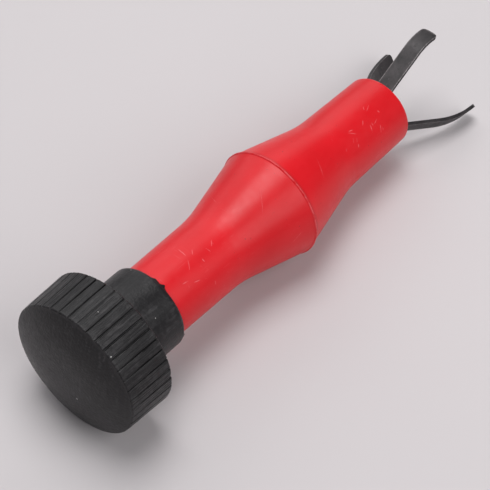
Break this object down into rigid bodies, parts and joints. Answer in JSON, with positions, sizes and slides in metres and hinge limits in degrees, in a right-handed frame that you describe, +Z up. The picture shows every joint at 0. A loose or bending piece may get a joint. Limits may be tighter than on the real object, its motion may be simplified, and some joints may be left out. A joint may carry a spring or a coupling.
{
  "type": "three-claw pick-up hand tool",
  "caption": "Hand tool with a ribbed twist knob, a red waisted handle shell and flat sprung claws that close as the knob draws them in.",
  "frame": {"origin": "under the middle of the part, on the surface that it lies on", "axes": "+X from the knob towards the claws, +Z up; the tool lies on the knob rim and the seam, nose down by 3.5 degrees"},
  "size_m": [0.1342, 0.0356, 0.0358],
  "materials": {
    "red_plastic": "satin moulded, lightly scuffed",
    "knob_plastic": "matte moulded, streaked and dusty",
    "black_plastic": "matte moulded",
    "black_rubber": "smooth nitrile",
    "spring_steel": "blackened spring steel, satin",
    "plain_steel": "turned",
    "brass": "turned"
  },
  "bodies": {
    "handle": {"rear_shell": "red_plastic", "front_shell": "red_plastic", "nose_bush": "black_plastic", "tail_seal": "black_rubber", "tail_bush": "brass", "thrust_washer": "plain_steel"},
    "knob": {"knob": "knob_plastic", "knob_insert": "brass", "drive_pin": "plain_steel", "lead_screw": "plain_steel", "retaining_ring": "plain_steel", "stop_ring": "plain_steel"},
    "carrier": {"claw_carrier": "black_plastic", "drive_nut": "brass", "claw_pin_1": "plain_steel", "claw_pin_2": "plain_steel", "claw_pin_3": "plain_steel", "claw_spring_1": "plain_steel", "claw_spring_2": "plain_steel", "claw_spring_3": "plain_steel"},
    "claw_1": {"claw_1": "spring_steel"},
    "claw_2": {"claw_2": "spring_steel"},
    "claw_3": {"claw_3": "spring_steel"}
  },
  "joints": [
    {"name": "knob_turn", "type": "hinge", "parent": "handle", "child": "knob", "pos_m": [-0.06427, 0, 0.01852], "axis": [0.9981, 0, -0.0617], "range_deg": [0, 720]},
    {"name": "carrier_slide", "type": "slide", "parent": "handle", "child": "carrier", "axis": [0.9981, 0, -0.0617], "range_m": [-0.00801, 0.00001]},
    {"name": "claw_1_close", "type": "hinge", "parent": "carrier", "child": "claw_1", "pos_m": [0.0392, 0, 0.01513], "axis": [0, 1, 0], "range_deg": [-0.01, 25.01]},
    {"name": "claw_2_close", "type": "hinge", "parent": "carrier", "child": "claw_2", "pos_m": [0.03892, -0.0026, 0.01064], "axis": [0.0534, -0.5, 0.8644], "range_deg": [-0.01, 25.01]},
    {"name": "claw_3_close", "type": "hinge", "parent": "carrier", "child": "claw_3", "pos_m": [0.03892, 0.0026, 0.01064], "axis": [-0.0534, -0.5, -0.8644], "range_deg": [-0.01, 25.01]}
  ],
  "couplings": [
    {"joint": "carrier_slide", "follows": "knob_turn", "m_per_rad": -0.00063662},
    {"joint": "claw_1_close", "follows": "knob_turn", "ratio": 0.034722},
    {"joint": "claw_2_close", "follows": "knob_turn", "ratio": 0.034722},
    {"joint": "claw_3_close", "follows": "knob_turn", "ratio": 0.034722}
  ]
}
